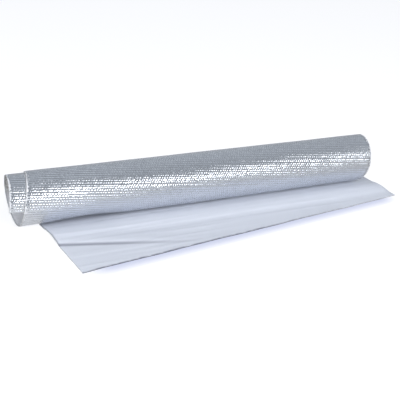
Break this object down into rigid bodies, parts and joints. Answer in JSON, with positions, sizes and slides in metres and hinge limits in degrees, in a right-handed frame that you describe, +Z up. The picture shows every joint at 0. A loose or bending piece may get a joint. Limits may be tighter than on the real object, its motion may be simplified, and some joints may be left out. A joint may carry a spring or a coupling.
{
  "type": "rolled self-adhesive aluminised heat shield sheet",
  "caption": "Square foil-faced woven glass-cloth heat shield sheet with a paper release liner, loosely rolled with its front stretch unrolled flat.",
  "frame": {"origin": "on the floor, at the middle of the bounding box", "axes": "+X along the roll's axis, +Y from the unrolled tail to the back of the roll, +Z up"},
  "size_m": [0.6812, 0.2, 0.0836],
  "materials": {
    "foil_faced_cloth": "satin",
    "liner_paper": "matte"
  },
  "bodies": {
    "root": {"heat_shield_sheet": "foil_faced_cloth", "release_liner": "liner_paper"}
  },
  "joints": []
}
